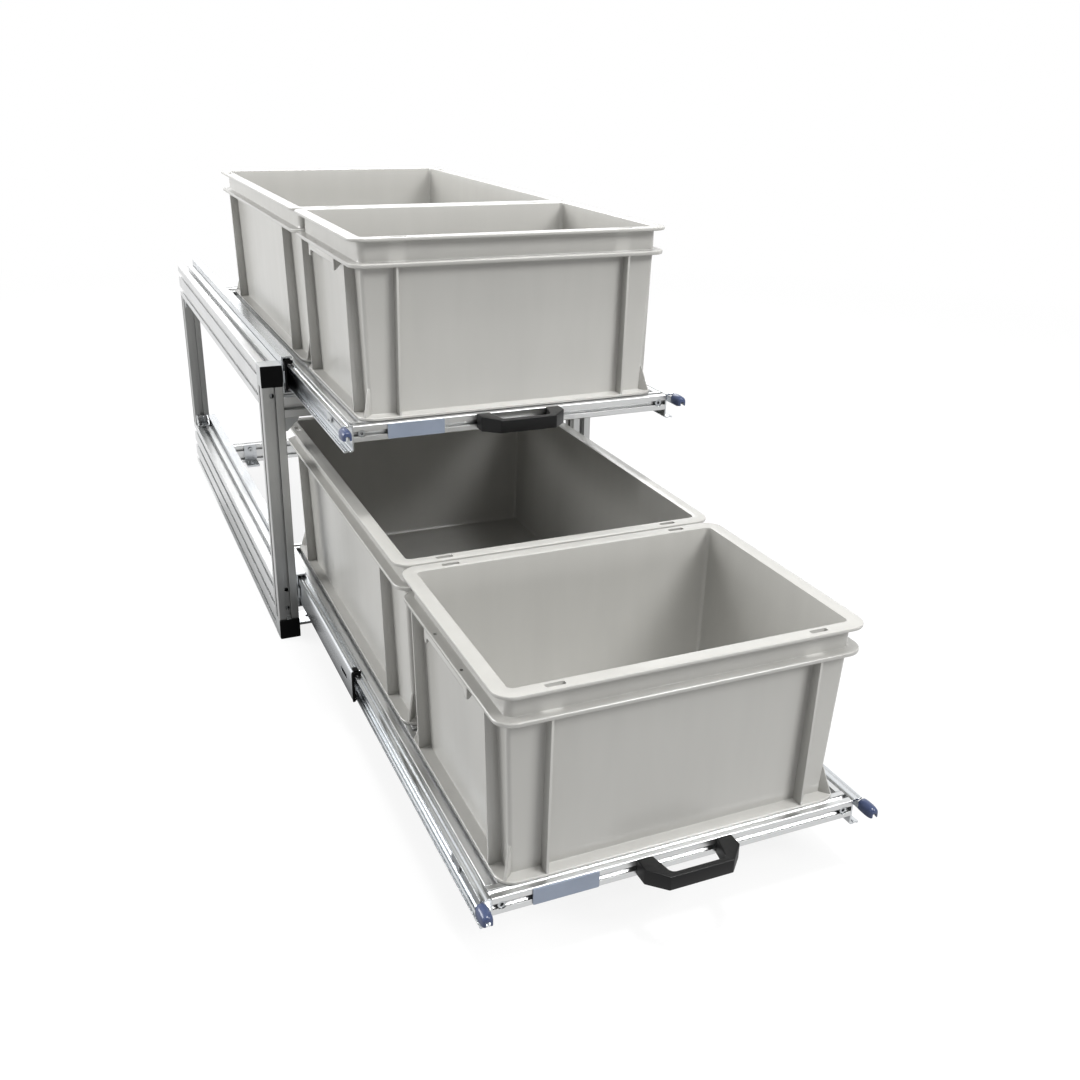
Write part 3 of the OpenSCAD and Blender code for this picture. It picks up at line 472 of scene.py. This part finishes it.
def make_handle(level):
    low, high = box_mm(f"{level}_handle")
    half, out = (high.x - low.x) / 2, high.y - low.y
    foot, thick = half - FOOT_WIDE, out - BAR_WIDE
    outer = [(-half, 0), (-half, -out * 0.47), (-half + out / 2, -out)]
    inner = [(foot, 0), (foot - 5.4, 4 - thick), (foot - 7.6, 1.2 - thick), (foot - 11, -thick)]
    outline = outer + mirrored(outer) + inner + mirrored(inner)
    bm = bmesh.new()
    bottom, top = [], []
    for x, y in outline:
        # The grip bar is a little lower than the feet
        drop = BAR_DROP if y < -out * 0.6 else 0
        bottom.append(bm.verts.new((x, high.y + y, low.z + drop)))
        top.append(bm.verts.new((x, high.y + y, high.z - drop * 0.4)))
    for i in range(len(outline)):
        j = (i + 1) % len(outline)
        bm.faces.new((bottom[i], bottom[j], top[j], top[i]))
    # Points 0 to 5 lie on the outer outline, 6 to 13 on the inner one, back again
    for loop in ((0, 1, 12, 13), (1, 2, 11, 12), (2, 3, 9, 10), (2, 10, 11), (3, 4, 7, 8),
                 (3, 8, 9), (4, 5, 6, 7)):
        bm.faces.new([bottom[k] for k in reversed(loop)])
        bm.faces.new([top[k] for k in loop])
    bmesh.ops.recalc_face_normals(bm, faces=bm.faces)
    sharp = [e for e in bm.edges if e.is_manifold and e.calc_face_angle() > math.radians(24)]
    bmesh.ops.bevel(bm, geom=sharp, offset=1.1, offset_type="OFFSET", segments=4, profile=0.5,
                    affect="EDGES", clamp_overlap=True, material=-1)
    build(bm, f"{level}_handle_bridge", f"{level}_drawer", nylon_black,
          (f"{level}_handle",))


for level in ("lower", "upper"):
    make_handle(level)


# %% [markdown]
# ## The lever grips
# A grip is a soft capsule pushed over the end of the steel strip: a round back, flat cheeks, and a
# groove underneath that leaves two prongs at the front. Its sections are lofted from rear to front
# and shrink at both ends.

# %% Lever grips
ARCH_STEPS = 8
# (part of the length from the rear, part of the full section)
STATIONS = ((0, 0.8), (0.03, 0.88), (0.1, 0.95), (0.3, 1), (0.6, 1), (0.8, 0.94), (0.92, 0.84),
            (0.98, 0.72), (1, 0.62))


def grip_section(half, tall, wall, rise):
    """An arch: outer outline over the top, then back along the groove's inside."""
    outer = [(-half, 0)]
    for i in range(ARCH_STEPS + 1):
        angle = math.radians(180 - 180 * i / ARCH_STEPS)
        outer.append((half * math.cos(angle), tall - half + half * math.sin(angle)))
    outer.append((half, 0))
    inner = half - wall
    return outer + [(inner, 0), (inner, rise - 1), (inner * 0.5, rise), (-inner * 0.5, rise),
                    (-inner, rise - 1), (-inner, 0)]


def make_grip(level, side):
    low, high = box_mm(f"{level}_grip_{side}")
    x, long = (low.x + high.x) / 2, high.y - low.y
    half, tall = (high.x - low.x) / 2, high.z - low.z
    bm = bmesh.new()
    rows = []
    for part, scale in STATIONS:
        section = grip_section(half * scale, tall * (0.4 + 0.6 * scale), 2.6 * scale, tall * 0.42)
        rows.append([bm.verts.new((x + a, high.y - long * part, low.z + b)) for a, b in section])
    for rear, front in zip(rows, rows[1:]):
        for i in range(len(rear)):
            j = (i + 1) % len(rear)
            bm.faces.new((rear[i], rear[j], front[j], front[i]))
    bm.faces.new(rows[0])
    bm.faces.new(list(reversed(rows[-1])))
    ends = [e for e in bm.edges if e.is_manifold and e.calc_face_angle() > math.radians(50)]
    bmesh.ops.bevel(bm, geom=ends, offset=0.5, offset_type="OFFSET", segments=3, profile=0.5,
                    affect="EDGES", clamp_overlap=True, material=-1)
    build(bm, f"{level}_{side}_capsule_grip", f"{level}_{side}_lock", grip_blue,
          (f"{level}_grip_{side}",), sharp=50)


for level in ("lower", "upper"):
    for side in ("left", "right"):
        make_grip(level, side)


# %% [markdown]
# ## The slide members
# Telescopic slides are roll-formed from strip: the bends are round and each flange has a shallow
# track pressed into it for the balls. CAD keeps them as plain channels, so the two inner sections
# are rolled here within the same outer sizes. A section is a centre line with a thickness, swept
# along Y; slots are left out of the web where the lock and the stops work. A black end clip keeps
# the balls in at the front of each middle member.

# %% Slide members
# Thickness of the strip, radius of its bends' centre line, and steps in a bend
STRIP, BEND, BEND_STEPS = 1.8, 2.4, 4


def rolled_section(web, tip, half, track, hole):
    """Centre line (x, height) of a channel from its upper tip, round the web, to its lower tip.

    Returns it with the number of its point just above the hole in the web.
    """
    way = 1 if tip > web else -1
    line, middle = half - STRIP / 2, web + way * STRIP / 2
    arm = [(tip, line)]
    for a, drop in ((2.6, 0), (1.4, 0.6), (0, 0.9), (-1.4, 0.6), (-2.6, 0)):
        arm.append((web + way * (track + a), line - drop))
    for i in range(BEND_STEPS + 1):
        angle = math.radians(90 * i / BEND_STEPS)
        arm.append((middle + way * BEND * (1 - math.sin(angle)),
                    line - BEND * (1 - math.cos(angle))))
    return (arm + [(middle, hole[1]), (middle, hole[0])]
            + [(x, -height) for x, height in reversed(arm)]), len(arm)


def channel(bm, section, web, sign, level_z, low_y, high_y, slots):
    """Sweeps a section from low_y to high_y and leaves slots, each (y, y), out of its web."""
    def bridge(one, two):
        bm.faces.new((one[0], two[0], two[1], one[1]))

    cuts = sorted({low_y, high_y, *(y for slot in slots for y in slot)})
    pairs = []
    for i, point in enumerate(section):
        before, after = section[max(i - 1, 0)], section[min(i + 1, len(section) - 1)]
        along = Vector((after[0] - before[0], after[1] - before[1])).normalized()
        off = Vector((-along.y, along.x)) * STRIP / 2
        pairs.append((Vector(point) + off, Vector(point) - off))
    grid = [[[bm.verts.new((sign * v.x, y, level_z + v.y)) for v in pair] for pair in pairs]
            for y in cuts]
    for k, (near, far) in enumerate(zip(grid, grid[1:])):
        for i in range(len(section) - 1):
            if i == web and any(a <= cuts[k] and cuts[k + 1] <= b for a, b in slots):
                for one, two in ((near[i], near[i + 1]), (far[i], far[i + 1]), (near[i], far[i]),
                                 (near[i + 1], far[i + 1])):
                    bridge(one, two)
                continue
            for side in (0, 1):
                bm.faces.new((near[i][side], near[i + 1][side], far[i + 1][side], far[i][side]))
        for i in (0, len(section) - 1):
            bridge(near[i], far[i])
    for row in (grid[0], grid[-1]):
        for one, two in zip(row, row[1:]):
            bridge(one, two)


def make_members(level, kind, body, opening, track, hole, slots):
    """Rolls both members of a kind; opening is the gap from the tips to the tray, 0 on the tray."""
    low, high = box_mm(f"{level}_slide_{kind}")
    tray = box_mm(f"{level}_side_bars")[1].x
    web, tip = (high.x, tray + opening) if opening else (tray, high.x)
    section, web_part = rolled_section(web, tip, (high.z - low.z) / 2, track, hole)
    bm = bmesh.new()
    for sign in (-1, 1):
        channel(bm, section, web_part, sign, (low.z + high.z) / 2, low.y, high.y,
                [(low.y + a, low.y + b) for a, b in slots])
    build(bm, f"{level}_rolled_{kind}", body, zinc_sheet, (f"{level}_slide_{kind}",))


def make_clips(level):
    """Black clips on the front ends of a level's middle members, each with a tongue on top."""
    low, high = box_mm(f"{level}_slide_mids")
    z, half = (low.z + high.z) / 2, (high.z - low.z) / 2
    # A C that leaves room for the inner member and, inside it, for the lever and its pins
    inside = box_mm(f"{level}_slide_inners")[1].z - z + 0.5
    outline = [(0.6, half), (12.6, half), (12.6, inside + 1.4), (11.2, inside), (2.8, inside),
               (2.8, -inside), (10.4, -inside), (9.4, -half), (6.8, -half), (5.8, -inside - 1.6),
               (4.2, -inside - 1.6), (3.2, -half), (0.2, -half), (0.2, half - 9), (0.6, half - 8)]
    bm = bmesh.new()
    for sign in (-1, 1):
        plate(bm, outline, (sign * high.x, low.y - 1.5, z), (-sign, 0, 0), (0, 0, 1), 2.8)
        plate(bm, [(3, 0), (9.6, 0), (9.6, 1.7), (3, 1.7)], (sign * high.x, low.y + 3.6, z + half),
              (-sign, 0, 0), (0, 0, 1), 10)
    build(bm, f"{level}_ball_stop_clips", f"{level}_stage", cover_black,
          (f"{level}_mid_clips",))


for level in ("lower", "upper"):
    make_members(level, "mids", f"{level}_stage", 2.6, 6.5, (-3, 3), ((26, 56),))
    make_members(level, "inners", f"{level}_drawer", 0, 7.5, (-8, -3), ((40, 54), (74, 88)))
    make_clips(level)


# %% [markdown]
# ## Camera
# The camera stands where the photograph was taken from. Its place, turns and lens were found by
# fitting a camera to the corners of the bins' rims.

# %% Camera
YAW, PITCH, ROLL = (math.radians(v) for v in (23.794, 22.637, 1.153))
EYE = (-0.5101, -1.5967, 0.8036)
SENSOR_MM, LENS_MM = 36, 37.543

scene = bpy.context.scene
forward = Vector((math.sin(YAW) * math.cos(PITCH), math.cos(YAW) * math.cos(PITCH),
                  -math.sin(PITCH)))
right = Vector((math.cos(YAW), -math.sin(YAW), 0))
up = right.cross(forward)
rolled_right = right * math.cos(ROLL) + up * math.sin(ROLL)
rolled_up = up * math.cos(ROLL) - right * math.sin(ROLL)
camera_data = bpy.data.cameras.new("photo_camera")
camera_data.sensor_width, camera_data.lens = SENSOR_MM, LENS_MM
camera = bpy.data.objects.new("photo_camera", camera_data)
camera.matrix_world = Matrix((rolled_right, rolled_up, -forward)).transposed().to_4x4()
camera.location = EYE
scene.collection.objects.link(camera)
scene.camera = camera


# %% [markdown]
# ## Light
# Soft boxes light the part from above, from the front right, from the left and from behind, so that
# the ribs on its left lie in shade, as in the photograph. The room around is white. In the metal a
# brighter room is mirrored than the one that lights the plastic; it is darker behind the camera and
# straight above.

# %% Lamps and room
# How strongly the room lights the part, and how bright it is in the picture's background
ROOM_LIGHT, ROOM_SEEN = 0.26, 1.0


def soft_box(name, place, target, size, power):
    data = bpy.data.lights.new(name, "AREA")
    data.shape, data.size, data.size_y = "RECTANGLE", *size
    data.energy = power
    lamp = bpy.data.objects.new(name, data)
    lamp.location = place
    lamp.rotation_euler = (Vector(target) - Vector(place)).to_track_quat("-Z", "Y").to_euler()
    scene.collection.objects.link(lamp)


soft_box("ceiling_lamp", (0.1, -1.2, 5.2), (0, -0.3, 0.3), (0.8, 0.8), 140)
soft_box("top_box", (0.3, -1.4, 4.4), (0, -0.3, 0.3), (3.0, 3.0), 82)
soft_box("front_box", (1.9, -3.5, 3.1), (0, -0.4, 0.3), (1.6, 1.6), 145)
soft_box("left_box", (-2.9, 1.3, 1.55), (0, -0.2, 0.3), (2.0, 1.4), 110)
soft_box("rear_box", (0.6, 2.6, 1.9), (0, 0, 0.4), (2.2, 1.0), 30)


def math_of(tree, operation, one, two):
    """One Math node over two sockets."""
    node = add(tree, "Math", operation=operation)
    tree.links.new(one, node.inputs[0])
    tree.links.new(two, node.inputs[1])
    return node.outputs["Value"]


def choose(tree, factor, no, yes):
    """A Mix of two values or sockets; factor says how much of yes."""
    links, values = {"Factor": factor}, {}
    for key, value in (("A", no), ("B", yes)):
        (values if isinstance(value, float) else links)[key] = value
    return add(tree, "Mix", links, **values).outputs["Result"]


def white_room():
    world = bpy.data.worlds.new("white_room")
    world.use_nodes = True
    tree = world.node_tree
    background = tree.nodes["Background"]
    background.inputs["Color"].default_value = rgb("#FFFFFF")
    rays = add(tree, "LightPath").outputs
    way = add(tree, "TexCoord").outputs["Generated"]
    turn = add(tree, "SeparateXYZ", {"Vector": way}).outputs
    front = add(tree, "MapRange", {"Value": turn["Y"]}, From_Min=-0.9, From_Max=0.4, To_Min=0.15,
                To_Max=1.15).outputs["Result"]
    ceiling = add(tree, "MapRange", {"Value": turn["Z"]}, From_Min=0.62, From_Max=0.9, To_Min=1,
                  To_Max=0.4).outputs["Result"]
    mirrored_room = math_of(tree, "MULTIPLY", front, ceiling)
    lit = choose(tree, rays["Is Glossy Ray"], ROOM_LIGHT, mirrored_room)
    tree.links.new(choose(tree, rays["Is Camera Ray"], lit, ROOM_SEEN),
                   background.inputs["Strength"])
    return world


scene.world = white_room()


# %% [markdown]
# ## Floor
# The floor is plain white paper, seen near white, that still takes a soft shadow. It glows by
# itself more and more away from the part, so it has no visible far edge. In reflections it is
# bright around the part and carries a painted shadow beneath it, which keeps the undersides of
# the rails dark. The light that it throws back on the part is weaker than it looks, so ribs and
# flanges keep their shade.

# %% Floor
# Half the floor's width in metres, and the middle and half sizes of the part's footprint, where
# the paper's reflections carry a painted shadow
FLOOR_HALF, FOOT_MIDDLE, FOOT_HALF = 14, (0.02, -0.12), (0.28, 0.62)
# Strength of the paper's glow in the light that it throws back on the part
PAPER_BOUNCE = 0.75


def white_paper():
    paper, tree, skin = new_material("white_paper")
    skin.inputs["Base Color"].default_value = rgb("#F2F2F2")
    skin.inputs["Roughness"].default_value = 0.9
    skin.inputs["Specular IOR Level"].default_value = 0.1
    rays = add(tree, "LightPath").outputs
    place = add(tree, "TexCoord").outputs["Object"]
    # The footprint, where the paper's reflections carry a painted shadow, is a box of half size 1
    # about the middle of these coordinates
    foot = add(tree, "Mapping", {"Vector": place}, Scale=(1 / FOOT_HALF[0], 1 / FOOT_HALF[1], 1))
    foot.inputs["Location"].default_value = (-FOOT_MIDDLE[0] / FOOT_HALF[0],
                                             -FOOT_MIDDLE[1] / FOOT_HALF[1], 0)
    far = add(tree, "VectorMath", {"Vector": foot.outputs["Vector"]}, operation="ABSOLUTE")
    sides = add(tree, "SeparateXYZ", {"Vector": far.outputs["Vector"]}).outputs
    beside = math_of(tree, "MAXIMUM", sides["X"], sides["Y"])
    # Painted shadow: in reflections the paper glows dimly inside the footprint and brightly outside
    # it
    shine = add(tree, "MapRange", {"Value": beside}, From_Min=0.9, From_Max=1.2, To_Min=0.1,
                To_Max=0.9).outputs["Result"]
    power = choose(tree, rays["Is Glossy Ray"], 1.0, shine)
    power = choose(tree, rays["Is Diffuse Ray"], power, PAPER_BOUNCE)
    glow = add(tree, "Emission", {"Strength": power}, Color=rgb("#FFFFFF"))
    away = add(tree, "VectorMath", {"Vector": place}, operation="LENGTH").outputs["Value"]
    share = add(tree, "MapRange", {"Value": away}, From_Min=1.2, From_Max=3.6, To_Min=0.85,
                To_Max=1).outputs["Result"]
    own = choose(tree, rays["Is Camera Ray"], 0.0, share)
    own = choose(tree, rays["Is Glossy Ray"], own, 1.0)
    own = choose(tree, rays["Is Diffuse Ray"], own, 1.0)
    mixed = add(tree, "MixShader", {"Fac": own})
    tree.links.new(skin.outputs["BSDF"], mixed.inputs[1])
    tree.links.new(glow.outputs["Emission"], mixed.inputs[2])
    tree.links.new(mixed.outputs["Shader"], tree.nodes["Material Output"].inputs["Surface"])
    return paper


bm = bmesh.new()
bmesh.ops.create_grid(bm, x_segments=2, y_segments=2, size=FLOOR_HALF)
mesh = bpy.data.meshes.new("studio_floor")
bm.to_mesh(mesh)
bm.free()
floor = bpy.data.objects.new("studio_floor", mesh)
# Half a millimetre under the part, so that no two faces lie in one plane
floor.location.z = -0.5 * MM
scene.collection.objects.link(floor)
floor.data.materials.append(white_paper())

scene.view_settings.view_transform = "Standard"
